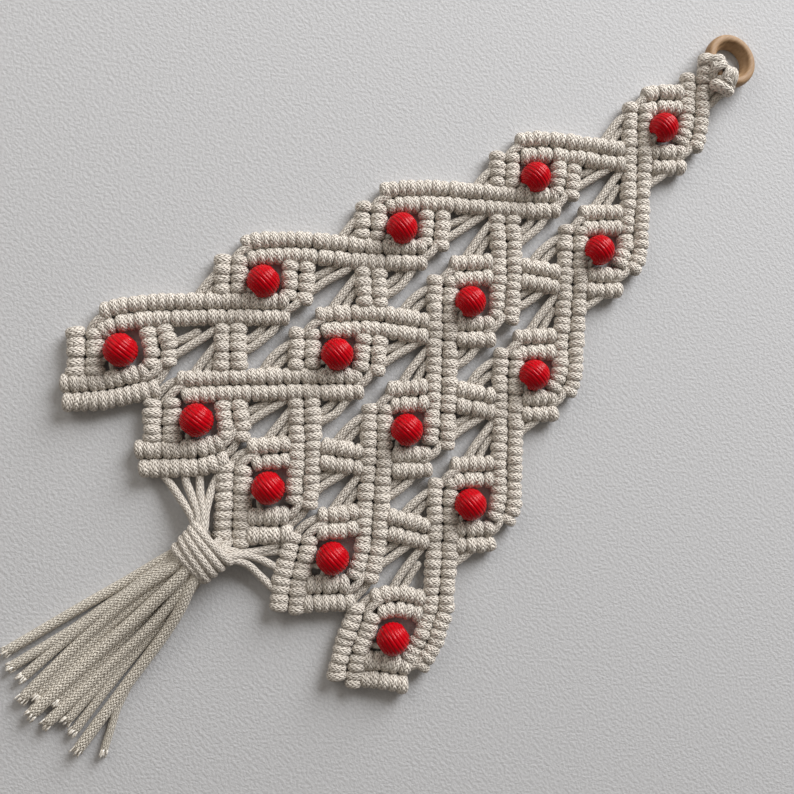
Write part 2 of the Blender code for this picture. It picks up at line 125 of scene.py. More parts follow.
# Below the last row's beads some pairs slope and bend more. By side and place, where side 1 is the
# pair that runs down to the right and side -1 the pair that runs down to the left:
STRAIGHT = ((-11.0, 0.0), (0.0, 0.0), (12.0, 0.0), (26.0, 0.0))
LAST_POINTS = {
    1: (STRAIGHT,
        STRAIGHT,
        ((-11.0, 0.3), (0.0, 0.0), (12.0, -0.2), (26.0, -0.6)),
        ((-8.0, 1.4), (-3.0, 0.4), (1.0, -0.7), (6.0, -1.8), (10.5, -2.7), (26.0, -3.6)),
        ((-12.0, 2.4), (-8.0, 2.0), (-3.0, 0.3), (1.5, -1.2), (6.0, -2.6), (10.0, -3.6),
         (14.0, -4.4), (26.0, -5.4))),
    -1: (((-14.0, 4.6), (-10.5, 3.0), (-7.0, 1.8), (0.0, 0.0), (5.0, -1.1), (10.0, -1.9),
          (26.0, -2.6)),
         ((-13.0, 2.8), (-9.0, 2.0), (-2.0, 0.0), (6.0, -0.6), (26.0, -0.8)),
         ((-11.0, 0.6), (0.0, 0.0), (12.0, 0.0), (26.0, 0.0)),
         ((-11.0, 0.4), (0.0, 0.0), (12.0, 0.0), (26.0, 0.0)),
         ((-12.0, 3.0), (-9.5, 1.2), (-6.0, -0.1), (-2.0, 0.2), (2.0, 1.2), (7.0, 2.2),
          (26.0, 3.0))),
}
# Above the beads at the tree's right and left edges, and above others by (side, row, place)
ABOVE_EDGE = {1: ((-14.0, -0.5), (-4.0, 0.0), (2.0, 0.8), (6.2, 2.6), (9.5, 4.4)),
              -1: ((-14.0, -0.5), (-2.0, 0.0), (2.0, 0.3), (8.0, 1.8), (9.5, 2.4))}
ABOVE_POINTS = {
    (1, 1, 1): ((-14.0, -1.3), (-4.0, -0.8), (0.0, -0.4), (3.0, 0.7), (6.2, 2.2), (9.5, 4.6)),
    (1, 3, 3): ((-14.0, -0.5), (-4.0, -0.4), (1.0, -0.1), (6.2, 1.8), (9.5, 3.8)),
    (1, 4, 0): ((-14.0, 2.6), (-9.0, 1.9), (-5.0, 0.7), (0.0, -0.3), (5.0, -0.2), (9.5, 0.6)),
    (1, 4, 1): ((-14.0, 1.0), (-6.0, 0.7), (0.0, 0.1), (5.0, -0.5), (9.5, 0.2)),
    (1, 4, 3): ((-14.0, -2.0), (-5.0, -1.5), (0.0, -0.5), (5.0, 0.8), (8.0, 2.0), (12.0, 4.6)),
    (1, 4, 4): ((-14.0, -3.2), (-8.7, -2.4), (-3.5, -0.8), (1.0, 0.8), (5.0, 2.8), (9.0, 5.2),
                (12.5, 7.6), (15.0, 9.6)),
    (-1, 1, 0): ((-14.0, 0.6), (-4.0, 0.1), (2.0, 0.3), (8.0, 1.8), (9.5, 2.4)),
    (-1, 4, 0): ((-14.0, -2.0), (-10.0, -1.6), (-2.0, -0.6), (2.0, 0.3), (7.0, 2.2), (10.0, 4.2)),
    (-1, 4, 4): ((-14.0, 2.6), (-9.0, 1.9), (-4.0, 0.4), (0.0, 0.0), (5.5, 1.2), (9.5, 2.0)),
}

# Where a pair's bars start and end along their run, from the bead above or below them
INNER_START, OUTER_START = -8.6, -9.4
INNER_END, OUTER_END = 6.2, 8.0
EDGE_START = -14.0
TOP_INNER_START, TOP_OUTER_START = -22.0, -28.2
# Some pairs end elsewhere above a bead: (outer, inner) by (side, row, place)
ABOVE_ENDS = {(1, 4, 0): (6.2, 6.6), (1, 4, 1): (7.8, 7.8), (1, 4, 3): (9.6, 8.0),
              (1, 4, 4): (12.6, 9.4), (-1, 4, 0): (8.0, 8.8), (-1, 4, 3): (5.6, 5.8)}
# Below the last row's beads the pairs are wider, and run from start to end: the bar by the bead,
# then the other one
LAST_SPACING = 6.8
LAST_WIDENING = 1.1
LAST_SPANS = {
    1: (((-7.4, 12.9), (-7.8, 12.9)), ((-7.2, 12.6), (-7.0, 12.6)), ((-7.6, 22.4), (-8.8, 22.8)),
        ((-8.6, 21.0), (-10.0, 20.2)), ((-9.0, 18.8), (-12.5, 15.4))),
    -1: (((-9.0, 21.4), (-12.5, 20.4)), ((-9.2, 22.2), (-11.2, 20.8)), ((-7.2, 12.7), (-8.2, 12.7)),
         ((-5.8, 12.8), (-8.0, 12.8)), ((-6.2, 12.8), (-5.4, 12.8))),
}

CORD_RADIUS = 1.6
CORD_SIDES = 12
CORD_STEP = 0.9                # between the rings of points along a cord
FINE_SIDES = 14                # of the cords in the lark's heads and about the wrap knot
BLUNTNESS = 0.2                # how much of a cord's rounded end is cut off
NARROWED = 0.25                # the share of a cord's length over which an end narrows


def bead_middle(row, place):
    low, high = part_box(f"bead_{row + 1}_{place + 1}")
    return np.array((low + high) / 2) / MM


# Tables measured from the top bead start at its even place in the lattice. It lies this far off it
TOP_BEAD_OFF = (1.6, -1.4)
TOP = bead_middle(0, 0)[:2] - TOP_BEAD_OFF


# -------------------------------------------- lines

def smooth_line(points, parts=12):
    """A Catmull-Rom curve through the points, as a fine polyline."""
    spots = np.array(points, float)
    spots = np.vstack([2 * spots[0] - spots[1], spots, 2 * spots[-1] - spots[-2]])
    t = (np.arange(parts) / parts)[:, None]
    line = []
    for before, start, end, after in zip(spots, spots[1:], spots[2:], spots[3:]):
        line.append(0.5 * (2 * start + (end - before) * t
                           + (2 * before - 5 * start + 4 * end - after) * t ** 2
                           + (3 * start - before - 3 * end + after) * t ** 3))
    line.append(spots[-2][None])
    return np.vstack(line)


def arc_lengths(line):
    """How far along the line each of its points lies."""
    steps = np.linalg.norm(np.diff(line, axis=0), axis=1)
    return np.concatenate([[0.0], np.cumsum(steps)])


def at_distances(line, lengths, distances):
    """The line's points, or values given at them, at distances along it."""
    return np.stack([np.interp(distances, lengths, column) for column in line.T], 1)


def unit_rows(vectors):
    return vectors / np.linalg.norm(vectors, axis=1)[:, None]


def tangents(line):
    """Unit directions along a line."""
    return unit_rows(np.gradient(line, axis=0))


def resampled(points, step):
    """A smooth line through the points, with a point every step."""
    line = smooth_line(points)
    lengths = arc_lengths(line)
    count = max(2, ceil(lengths[-1] / step))
    return at_distances(line, lengths, np.linspace(0, lengths[-1], count + 1))


def shifted(line, distance):
    """A flat line moved sideways, to its left for a distance above zero."""
    slopes = tangents(line)
    return line + distance * np.stack([-slopes[:, 1], slopes[:, 0]], 1)


# -------------------------------------------- meshes of cord

class CordMesh:
    """Closed tubes in one mesh. Its UV map counts the cord's stitches along and round it."""

    def __init__(self):
        self.points = []
        self.faces = []
        self.stitches = []
        self.size = 0

    def add(self, rings, rows, wales=WALES, loop=False):
        """Rings of points in order, with the stitch row at each ring, and one more for a loop."""
        count, sides = rings.shape[:2]
        turns = count if loop else count - 1
        ring = np.arange(turns)[:, None]
        side = np.arange(sides)[None]
        after, beside = (ring + 1) % count, (side + 1) % sides
        corners = np.stack([ring * sides + side, ring * sides + beside,
                            after * sides + beside, after * sides + side], -1)
        here = np.broadcast_to(np.asarray(rows)[:turns, None], (turns, sides))
        there = np.broadcast_to(np.asarray(rows)[1:turns + 1, None], (turns, sides))
        round_it = np.broadcast_to(side * wales / sides, (turns, sides))
        next_round = round_it + wales / sides
        spots = np.stack([here, round_it, here, next_round, there, next_round, there, round_it],
                         -1)
        self.faces += (corners.reshape(-1, 4) + self.size).tolist()
        self.stitches.append(spots.reshape(-1))
        if not loop:
            last = (count - 1) * sides
            for cap in (list(range(sides))[::-1], [last + k for k in range(sides)]):
                self.faces.append([self.size + k for k in cap])
                self.stitches.append(np.zeros(2 * sides))
        self.points.append(rings.reshape(-1, 3))
        self.size += count * sides

    def build(self, name, material):
        """The piece, with its stitches as the UV map cord."""
        mesh = bpy.data.meshes.new(name)
        mesh.from_pydata(np.vstack(self.points) * MM, [], self.faces)
        layer = mesh.uv_layers.new(name="cord")
        layer.uv.foreach_set("vector", np.concatenate(self.stitches).astype(np.float32))
        mesh.materials.append(material)
        mesh.shade_smooth()
        mesh.validate()
        piece = bpy.data.objects.new(name, mesh)
        bpy.context.scene.collection.objects.link(piece)
        return piece


def turned(count):
    """Angles evenly round a circle."""
    return 2 * pi * np.arange(count) / count


def about(reach):
    """A random value up to a reach either way."""
    return dice.uniform(-reach, reach)


def squared(values):
    """Sines or cosines that draw a squarer form than a circle."""
    return np.sign(values) * np.abs(values) ** SQUARED


def frames(line):
    """A side and an up direction at each point of a line, turning as little as they can."""
    slopes = tangents(line)
    up = RISE if abs(slopes[0][2]) < 0.9 else np.array([1.0, 0.0, 0.0])
    ups = []
    for slope in slopes:
        up = up - slope * (up @ slope)
        up = up / np.linalg.norm(up)
        ups.append(up)
    ups = np.array(ups)
    return np.cross(ups, slopes), ups


def add_cord(mesh, points, radius=CORD_RADIUS, sides=CORD_SIDES, step=CORD_STEP, flat=1.0,
             ends=(1.0, 1.0), row=STITCH_ROW, wales=WALES):
    """A cord with rounded ends along the points. The shares in ends narrow them, and flat lowers
    it. Returns its middle line."""
    line = resampled(points, step)
    lengths = arc_lengths(line)
    side, up = frames(line)
    from_end = np.minimum(lengths, lengths[-1] - lengths) + BLUNTNESS
    rounding = np.minimum(1.0, from_end / radius)
    girth = radius * np.sqrt(np.clip(1 - (1 - rounding) ** 2, 0.05, 1))
    share = lengths / lengths[-1]
    for end, inward in zip(ends, (share, 1 - share)):
        girth = girth * (end + (1 - end) * np.minimum(1, inward / NARROWED))
    turn = turned(sides)
    rings = (line[:, None] + girth[:, None, None]
             * (np.cos(turn)[None, :, None] * side[:, None]
                + flat * np.sin(turn)[None, :, None] * up[:, None]))
    mesh.add(rings, lengths / row + dice.random(), wales)
    return line


def add_wrap(mesh, middle, slope, half_width, height, half_length, taper, lift):
    """One turn of cord round a bar: a plump ring, pinched at its sides, on the surface or lifted.
    Taper makes one side of it longer than the other."""
    across = np.array([-slope[1], slope[0], 0.0])
    along = np.array([slope[0], slope[1], 0.0])
    turn, around = turned(WRAP_STEPS), turned(WRAP_SIDES)
    out = np.cos(turn)[:, None] * across + np.sin(turn)[:, None] * RISE
    path = (np.array([middle[0], middle[1], height / 2 + WRAP_LIFT])
            + (half_width - WRAP_THICKNESS) * np.cos(turn)[:, None] * across
            + (height / 2 - WRAP_THICKNESS) * np.sin(turn)[:, None] * RISE)
    plump = 1 + taper * np.cos(turn) - WRAP_PINCH * np.cos(turn) ** 2
    lengthways = -squared(np.sin(around))
    rings = (path[:, None] + WRAP_THICKNESS * np.cos(around)[None, :, None] * out[:, None]
             + half_length * plump[:, None, None] * lengthways[None, :, None] * along)
    rings[..., 2] = np.maximum(rings[..., 2], WRAP_FLOOR) + lift
    rim = pi * (half_width + height / 2)
    rows = round(rim / STITCH_ROW) * np.arange(WRAP_STEPS + 1) / WRAP_STEPS
    mesh.add(rings, rows + dice.random(), loop=True)


# -------------------------------------------- materials

# Colours are linear red, green and blue
CREAM = (0.88, 0.81, 0.72)
# The cotton's shades are painted shade in the holes between stitches; they also tint the fibre
# streaks
CREAM_SHADE = (0.14, 0.074, 0.028)
TASSEL_CREAM = (0.89, 0.825, 0.715)
TASSEL_SHADE = (0.27, 0.19, 0.12)
YARN, YARN_SHADE = (0.95, 0.92, 0.86), (0.62, 0.55, 0.46)
RED, DEEP_RED = (0.50, 0.0, 0.006), (0.42, 0.0, 0.005)
WOOD, WOOD_GRAIN, WOOD_FLECK = (0.37, 0.235, 0.128), (0.28, 0.168, 0.086), (0.25, 0.12, 0.05)
PALE, PALE_SHADE = (0.625, 0.628, 0.64), (0.565, 0.568, 0.58)
# How deep each surface's bumps are
STITCH_DEPTH = 0.4
YARN_DEPTH = 0.1
LACQUER_DEPTH = 0.012
WOOD_DEPTH = 0.04
PAPER_DEPTH = 0.25
# The braid: the noise that bends its rows and columns, how far its stitches slant, where a column's
# edge and middle begin and end, and how near to both and to a stitch's end a hole gets painted shade
ROW_NOISE, ROW_BEND = 420.0, 0.8
WALE_NOISE, WALE_BEND = 500.0, 0.5
STITCH_SLANT = 0.8
EDGE_SPAN, MIDDLE_SPAN, HOLE_SHADE_SPAN = (0.45, 1.0), (0.4, 0.0), (0.88, 1.2)
# How much the middle counts beside the edge, and both beside a stitch's end
MIDDLE_SHARE, EDGE_SHARE = 0.7, 0.36
# Its fibres, its duller patches, and how much of the patches, fibres and painted hole shade shows
FIBRE_STRETCH, FIBRE_NOISE, FIBRE_RISE = (1.2, 9.0, 1.0), 2.0, 0.3
PATCH_NOISE, PATCH_DIMMING = 55.0, 0.9
PATCH_SHARE, STREAK_SHARE, HOLE_SHADE_SHARE = 0.3, 0.1, 0.64
# How fine the other materials' noise is
YARN_NOISE = 1600.0
CLOUD_NOISE, GLOSS_NOISE = 260.0, 1500.0
TOOTH_NOISE = 900.0
# How the beech's grain lies, and how fine it is along each axis
GRAIN_TURN = (0.0, 0.2, 0.35)
GRAIN_SCALE = (2600.0, 260.0, 900.0)
WOOD_FLECK_SCALE = (2400.0, 500.0, 900.0)

# The colour sockets of a Mix node, which has the same names for each kind of value
MIX_SHARE, MIX_FIRST, MIX_SECOND, MIX_COLOUR = 0, 6, 7, 2


class Graph:
    """A material's nodes, made one after another."""

    def __init__(self, name):
        self.material = bpy.data.materials.new(name)
        self.material.use_nodes = True
        self.nodes = self.material.node_tree.nodes
        self.links = self.material.node_tree.links
        self.shader = self.nodes["Principled BSDF"]

    def feed(self, socket, value):
        """Links an output to a socket, or sets the socket's own value."""
        if isinstance(value, bpy.types.NodeSocket):
            self.links.new(value, socket)
        else:
            socket.default_value = value

    def node(self, kind, inputs=(), **settings):
        made = self.nodes.new(kind)
        for name, value in settings.items():
            setattr(made, name, value)
        for name, value in dict(inputs).items():
            self.feed(made.inputs[name], value)
        return made

    def math(self, operation, *values):
        return self.node("ShaderNodeMath", dict(enumerate(values)),
                         operation=operation).outputs[0]

    def plus(self, value, share, other):
        """A value with a share of another added."""
        return self.math("ADD", value, self.math("MULTIPLY", other, share))

    def blend(self, share, first, second):
        """A colour between two, by a share."""
        mix = self.node("ShaderNodeMix", data_type="RGBA")
        self.feed(mix.inputs[MIX_SHARE], share)
        for index, colour in ((MIX_FIRST, first), (MIX_SECOND, second)):
            self.feed(mix.inputs[index], (*colour, 1.0) if isinstance(colour, tuple) else colour)
        return mix.outputs[MIX_COLOUR]

    def span(self, value, low, high):
        """0 at low, 1 at high, and smooth between."""
        return self.node("ShaderNodeMapRange", {"Value": value, "From Min": low,
                                                "From Max": high},
                         interpolation_type="SMOOTHSTEP").outputs[0]

    def noise(self, place, scale, detail=2.0):
        return self.node("ShaderNodeTexNoise", {"Vector": place, "Scale": scale,
                                                "Detail": detail}).outputs[0]

    def solid(self):
        """Places in the piece's own axes."""
        return self.node("ShaderNodeTexCoord").outputs["Object"]

    def mapped(self, place, scale, turn=(0.0, 0.0, 0.0)):
        return self.node("ShaderNodeMapping", {"Vector": place, "Scale": scale,
                                               "Rotation": turn}).outputs[0]

    def set(self, **values):
        for name, value in values.items():
            self.shader.inputs[name.replace("_", " ")].default_value = value

    def finish(self, colour, height, depth):
        """Links the colour, and the height as a bump of a depth in millimetres."""
        self.links.new(colour, self.shader.inputs["Base Color"])
        bump = self.node("ShaderNodeBump", {"Height": height, "Distance": depth * MM,
                                            "Strength": 1.0})
        self.links.new(bump.outputs[0], self.shader.inputs["Normal"])
        return self.material


def cotton(name, light, shade):
    """Braided cotton: columns of small slanted stitches, with painted shade in the holes between
    them.
    """
    graph = Graph(name)
    stitches = graph.node("ShaderNodeUVMap", uv_map="cord").outputs[0]
    places = graph.node("ShaderNodeSeparateXYZ", {0: stitches})
    row, wale = places.outputs[0], places.outputs[1]
    solid = graph.solid()

    # Each column's two legs slant away from its middle, and noise keeps the rows from lining up
    row = graph.plus(row, ROW_BEND, graph.noise(solid, ROW_NOISE, 1.0))
    wale = graph.plus(wale, WALE_BEND, graph.noise(solid, WALE_NOISE, 1.0))
    from_middle = graph.math("SUBTRACT", graph.math("FRACT", wale), 0.5)
    out = graph.math("MULTIPLY", graph.math("ABSOLUTE", from_middle), 2.0)
    step = graph.math("FRACT", graph.plus(row, STITCH_SLANT, out))
    end_on = graph.math("ABSOLUTE", graph.math("SUBTRACT", graph.math("MULTIPLY", step, 2.0), 1.0))
    edge = graph.plus(graph.span(out, *EDGE_SPAN), MIDDLE_SHARE, graph.span(out, *MIDDLE_SPAN))
    nearness = graph.plus(end_on, EDGE_SHARE, edge)
    # Painted shade: the holes between stitches, where shade falls, are darkened in colour
    hole_shade = graph.span(nearness, *HOLE_SHADE_SPAN)
    rounded = graph.math("SUBTRACT", 1.0, graph.math("MULTIPLY", nearness, nearness))

    fibre = graph.noise(graph.mapped(stitches, FIBRE_STRETCH), FIBRE_NOISE)
    height = graph.plus(rounded, FIBRE_RISE, fibre)

    patch = graph.span(graph.noise(solid, PATCH_NOISE), 0.35, 0.7)
    bright = graph.blend(graph.math("MULTIPLY", patch, PATCH_SHARE), light,
                         tuple(PATCH_DIMMING * part for part in light))
    streaked = graph.blend(graph.math("MULTIPLY", fibre, STREAK_SHARE), bright, shade)
    # The holes' painted shade goes over the streaked colour
    colour = graph.blend(graph.math("MULTIPLY", hole_shade, HOLE_SHADE_SHARE), streaked, shade)
    graph.set(Roughness=0.62, Sheen_Weight=0.12, Sheen_Roughness=0.5, Specular_IOR_Level=0.45)
    return graph.finish(colour, height, STITCH_DEPTH)


def yarn(name):
    """Loose bright threads of cotton."""
    graph = Graph(name)
    fine = graph.noise(graph.solid(), YARN_NOISE)
    colour = graph.blend(graph.span(fine, 0.35, 0.65), YARN, YARN_SHADE)
    graph.set(Roughness=0.7, Sheen_Weight=0.3, Specular_IOR_Level=0.4)
    return graph.finish(colour, fine, YARN_DEPTH)


def lacquer(name):
    """Glossy red lacquer, a little cloudy."""
    graph = Graph(name)
    solid = graph.solid()
    cloudy = graph.noise(solid, CLOUD_NOISE, 3.0)
    fine = graph.noise(solid, GLOSS_NOISE)
    colour = graph.blend(graph.span(cloudy, 0.3, 0.7), RED, DEEP_RED)
    graph.set(Roughness=0.27, Coat_Weight=0.03, Coat_Roughness=0.1, Specular_IOR_Level=0.16)
    return graph.finish(colour, fine, LACQUER_DEPTH)


def beech(name):
    """Turned beech: fine straight grain with short dark flecks."""
    graph = Graph(name)
    solid = graph.solid()
    grain = graph.noise(graph.mapped(solid, GRAIN_SCALE, GRAIN_TURN), 1.0, 3.0)
    flecks = graph.noise(graph.mapped(solid, WOOD_FLECK_SCALE, GRAIN_TURN), 1.0, 1.0)
    wood = graph.blend(graph.span(grain, 0.3, 0.7), WOOD, WOOD_GRAIN)
    colour = graph.blend(graph.math("MULTIPLY", graph.span(flecks, 0.62, 0.74), 0.4), wood,
                         WOOD_FLECK)
    graph.set(Roughness=0.55, Specular_IOR_Level=0.25)
    return graph.finish(colour, grain, WOOD_DEPTH)


def paper(name):
    """Pale paper with a fine uneven tooth."""
    graph = Graph(name)
    tooth = graph.noise(graph.solid(), TOOTH_NOISE)
    colour = graph.blend(graph.span(tooth, 0.3, 0.7), PALE_SHADE, PALE)
    graph.set(Roughness=0.85, Specular_IOR_Level=0.2)
    return graph.finish(colour, tooth, PAPER_DEPTH)


# -------------------------------------------- bars of clove hitches

class Pair:
    """Two bars of clove hitches side by side, along one middle line.

    The limits say from and to where the bar on the upper bead's side runs, and then the other one.
    The leaders are the pairs that lie across it unbroken."""

    def __init__(self, row, points, along, limits, spacing=BAR_SPACING, widening=1.0):
        self.row = row
        self.spacing = spacing
        self.widening = widening
        self.middle = resampled(points, LINE_STEP)
        self.along = along
        self.limits = limits
        self.leaders = []

    def bars(self):
        """The line of each of the two bars."""
        left = 1 if self.along[0] > 0 else -1
        for facing_upper, (first, last) in zip((1, -1), self.limits):
            line = shifted(self.middle, left * facing_upper * self.spacing / 2)
            reach = line @ self.along
            yield line[(reach >= first) & (reach <= last)]


def leads(row, place, side):
    """Whether the pairs of a side lie unbroken above and below a bead."""
    return (2 * place >= row) == (side == 1)


def run_past(row, place, side):
    """A bead, the way one side's pairs run past it, the way to the upper one, and how far off the
    upper and the lower one are."""
    low_left, up_right, up_left, low_right = BESIDE_BEADS[row][place]
    bead = bead_middle(row, place)[:2]
    if side == 1:
        return bead, DOWN_RIGHT, UP_RIGHT, up_right, low_left
    return bead, -UP_RIGHT, -DOWN_RIGHT, up_left, low_right


def points_below(row, place, side, table):
    """The middle line of the pair below a bead."""
    bead, along, out, _, near = run_past(row, place, side)
    return [bead + reach * along - (near - bend) * out for reach, bend in table]


def points_above(row, place, side):
    """The middle line of the pair above a bead."""
    bead, along, out, near, _ = run_past(row, place, side)
    table = ABOVE_BEAD
    if row < ROWS - 1 and place == (row if side == 1 else 0):
        table = ABOVE_EDGE[side]
    table = ABOVE_POINTS.get((side, row, place), table)
    if row == 0 and side == 1:
        table = TREE_TOP + table
    return [bead + reach * along + (near - bend) * out for reach, bend in table]


def ends_above(row, place, side):
    return ABOVE_ENDS.get((side, row, place), (OUTER_END, INNER_END))


def pair_below(row, place, side):
    """The pair that runs below a bead and on above the next one on its way."""
    bead, along, *_ = run_past(row, place, side)
    here = bead @ along
    if row == ROWS - 1:
        points = points_below(row, place, side, LAST_POINTS[side][place])
        limits = [(here + first, here + last) for first, last in LAST_SPANS[side][place]]
        return Pair(row, points, along, limits, LAST_SPACING, LAST_WIDENING)
    upcoming = (row + 1, place + (side == 1))
    there = bead_middle(*upcoming)[:2] @ along
    outer_end, inner_end = ends_above(*upcoming, side)
    points = points_below(row, place, side, BELOW_BEAD) + points_above(*upcoming, side)
    limits = ((here + INNER_START, there + outer_end), (here + OUTER_START, there + inner_end))
    return Pair(row, points, along, limits)


def first_pair(row, place, side):
    """The pair over a row's first bead. It starts at the tree's edge, or under the ring."""
    bead, along, *_ = run_past(row, place, side)
    here = bead @ along
    starts = (EDGE_START, EDGE_START)
    if row == 0 and side == 1:
        starts = (TOP_OUTER_START, TOP_INNER_START)
    limits = [(here + start, here + end)
              for start, end in zip(starts, ends_above(row, place, side))]
    return Pair(row, points_above(row, place, side), along, limits)


def make_pairs():
    """All the pairs of bars, each with its leaders."""
    pairs = []
    at_crossing = {}

    def note(pair, level, row, place, unbroken):
        at_crossing.setdefault((level, row, place), []).append((pair, unbroken))

    for side in (1, -1):
        for row in range(ROWS):
            for step in range(row + 1):
                place = step if side == 1 else row - step
                pair = pair_below(row, place, side)
                pairs.append(pair)
                note(pair, "below", row, place, leads(row, place, side))
                if row < ROWS - 1:
                    upcoming = (row + 1, place + (side == 1))
                    at_edge = step == row
                    note(pair, "above", *upcoming, at_edge or leads(*upcoming, side))
            place = 0 if side == 1 else row
            pair = first_pair(row, place, side)
            pairs.append(pair)
            note(pair, "above", row, place, row == 0 and side == 1)

    for meeting in at_crossing.values():
        leaders = [pair for pair, unbroken in meeting if unbroken]
        for pair, unbroken in meeting:
            if not unbroken:
                pair.leaders += leaders
    return pairs


def open_spans(line, lengths, leaders):
    """The stretches of a bar that no leader covers, without very short ones."""
    shown = np.ones(len(line), bool)
    for leader in leaders:
        gaps = np.linalg.norm(line[:, None] - leader.middle[None], axis=2).min(1)
        shown &= gaps > CROSSING_CLEAR
    edges = np.flatnonzero(np.diff(np.concatenate([[0], shown.astype(int), [0]])))
    for start, end in zip(edges[::2], edges[1::2] - 1):
        if lengths[end] - lengths[start] > SHORTEST_SPAN:
            yield lengths[start], lengths[end]


def add_bar(mesh, line, leaders, widening):
    """A bar's wraps, each a little different, round the cord that carries them."""
    lengths = arc_lengths(line)
    slopes = tangents(line)
    for start, end in open_spans(line, lengths, leaders):
        count = max(1, round((end - start) / (WRAP_PITCH * dice.uniform(*PITCH_SHARES))))
        pitch = (end - start) / count
        slant = radians(dice.choice((-WRAP_SLANT, WRAP_SLANT)))
        for index in range(count):
            place = start + (index + 0.5) * pitch
            place += (EVERY_OTHER if index % 2 else -EVERY_OTHER) + about(ALONG_LINE)
            spot = at_distances(line, lengths, [place])[0] + about(SPOT_SHIFT)
            slope = at_distances(slopes, lengths, [place])[0]
            angle = np.arctan2(slope[1], slope[0]) + slant + radians(dice.gauss(0, TURN_SPREAD))
            add_wrap(mesh, spot, (cos(angle), sin(angle)),
                     widening * BAR_HALF_WIDTH * dice.uniform(*WIDTH_SHARES),
                     BAR_HEIGHT * dice.uniform(*HEIGHT_SHARES),
                     WRAP_HALF_LENGTH * pitch / WRAP_PITCH * dice.uniform(*LENGTH_SHARES),
                     about(TAPER),
                     RING_CLIMB * max(0.0, spot[1] - TOP[1] - RING_CLIMB_START))
        inside = (lengths >= start - CORE_REACH) & (lengths <= end + CORE_REACH)
        core = line[inside][::CORE_EVERY]
        if len(core) > 2:
            add_cord(mesh, np.column_stack([core, np.full(len(core), BAR_HEIGHT / 2)]),
                     CORE_RADIUS, CORE_SIDES, CORE_STEP)


def make_bars(pairs, material):
    """A piece for the bars that start in each row."""
    pieces = []
    for row in range(ROWS):
        mesh = CordMesh()
        for pair in pairs:
            if pair.row == row:
                for line in pair.bars():
                    add_bar(mesh, line, pair.leaders, pair.widening)
        pieces.append(mesh.build(f"knotted_bars_{row + 1}", material))
    return pieces


# -------------------------------------------- free cords

# On one side of the gap between two beads: (out from the gap's middle, along, height)
GAP_UPPER = ((1.8, 29.0, 2.6), (2.6, 23.4, 2.8), (3.9, 15.6, 3.0), (5.0, 10.2, 3.0), (6.4, 5.4, 2.6))
GAP_BETWEEN = ((6.2, 7.0, 3.2), (5.2, 3.0, 3.9), (5.0, -0.6, 3.9), (5.9, -4.6, 3.2))
GAP_LOWER = ((5.4, -6.0, 2.6), (3.9, -11.0, 2.8), (3.6, -16.0, 3.0), (4.2, -20.5, 2.9),
             (5.4, -25.0, 2.6))
# The last row's gaps close on two cords
GAP_END = ((4.6, 9.0, 1.9), (2.6, 4.0, 2.5), (1.8, 0.0, 2.5), (2.2, -4.5, 2.1), (3.4, -9.5, 1.8))
# The second cord beside the first, which shows in a gap's corners only
GAP_UPPER_INNER = ((5.6, 24.0, 1.9), (6.6, 18.5, 1.9), (8.6, 13.0, 1.9), (10.4, 9.0, 1.9))
GAP_LOWER_INNER = ((9.6, -8.0, 1.9), (7.2, -12.5, 1.9), (6.8, -17.0, 1.9), (7.6, -22.0, 1.9))
# At the tree's edge: (out from the bead, along, height)
EDGE_BETWEEN = ((12.4, 6.6, 3.0), (13.2, 3.0, 3.8), (13.4, -0.5, 3.8), (12.6, -4.6, 3.0))
EDGE_LOWER = ((12.6, -6.0, 2.6), (13.6, -11.0, 2.9), (13.0, -17.0, 2.9), (11.6, -23.5, 2.6))
EDGE_LOWER_INNER = ((9.2, -8.5, 1.9), (10.4, -13.0, 1.9), (10.2, -17.5, 1.9), (9.0, -22.5, 1.9))
# Out of a bead's lower end: (out from its middle, along, height)
BEAD_CORD = ((0.8, -3.0, 5.6), (1.1, -5.8, 4.6), (2.4, -7.4, 3.2), (5.6, -8.6, 2.2))
BEAD_CORD_RADIUS = 1.05
CORD_SHIFT = 0.3               # how far the points of these cords may be off, across


def beside(middle, table, side):
    """A table's points on one side of a middle, each a little off."""
    return [(middle[0] + side * out + about(CORD_SHIFT), middle[1] + along, height)
            for out, along, height in table]


def make_free_cords(material):
    """The cords in the lattice's gaps and at its edges."""
    mesh = CordMesh()
    for row in range(ROWS):
        for place in range(row):
            left, right = bead_middle(row, place), bead_middle(row, place + 1)
            middle = (left + right) / 2
            for side in (-1, 1):
                tables = [GAP_UPPER, GAP_UPPER_INNER, GAP_BETWEEN]
                tables += [GAP_LOWER, GAP_LOWER_INNER] if row < ROWS - 1 else [GAP_END]
                for table in tables:
                    add_cord(mesh, beside(middle, table, side))
        for side, place in ((-1, 0), (1, row)):
            tables = [EDGE_BETWEEN]
            if row < ROWS - 1:
                tables += [EDGE_LOWER, EDGE_LOWER_INNER]
            for table in tables:
                add_cord(mesh, beside(bead_middle(row, place), table, side))
    return mesh.build("free_cords", material)


def make_bead_cords(material):
    """The cords that come out of the beads."""
    mesh = CordMesh()
    for row in range(ROWS):
        for place in range(row + 1):
            for side in (-1, 1):
                add_cord(mesh, beside(bead_middle(row, place), BEAD_CORD, side),
                         BEAD_CORD_RADIUS)
    return mesh.build("bead_cords", material)


# -------------------------------------------- beads

BEAD_RADIUS = 6.0
# The turned beads differ a little in size, row by row
BEAD_SIZES = (0.94, 0.965, 0.985, 1.015, 1.03)
BEAD_HOLE_RADIUS = 1.9
BORE_RADIUS = 1.65             # inside the holes' edges
BORE_INSET = 0.5               # the bore starts this far inside them
BEAD_GROOVES = 10
GROOVE_DEPTH = 0.22
GROOVE_POWER = 6               # the higher, the narrower the grooves
SHARP_ANGLE = 60               # degrees at an edge that isn't smoothed
BEAD_STEPS = 110
BEAD_SIDES = 64
# The beads have slid a little down their cords
BEAD_SETTLED = (-0.1, -0.6, 0.0)
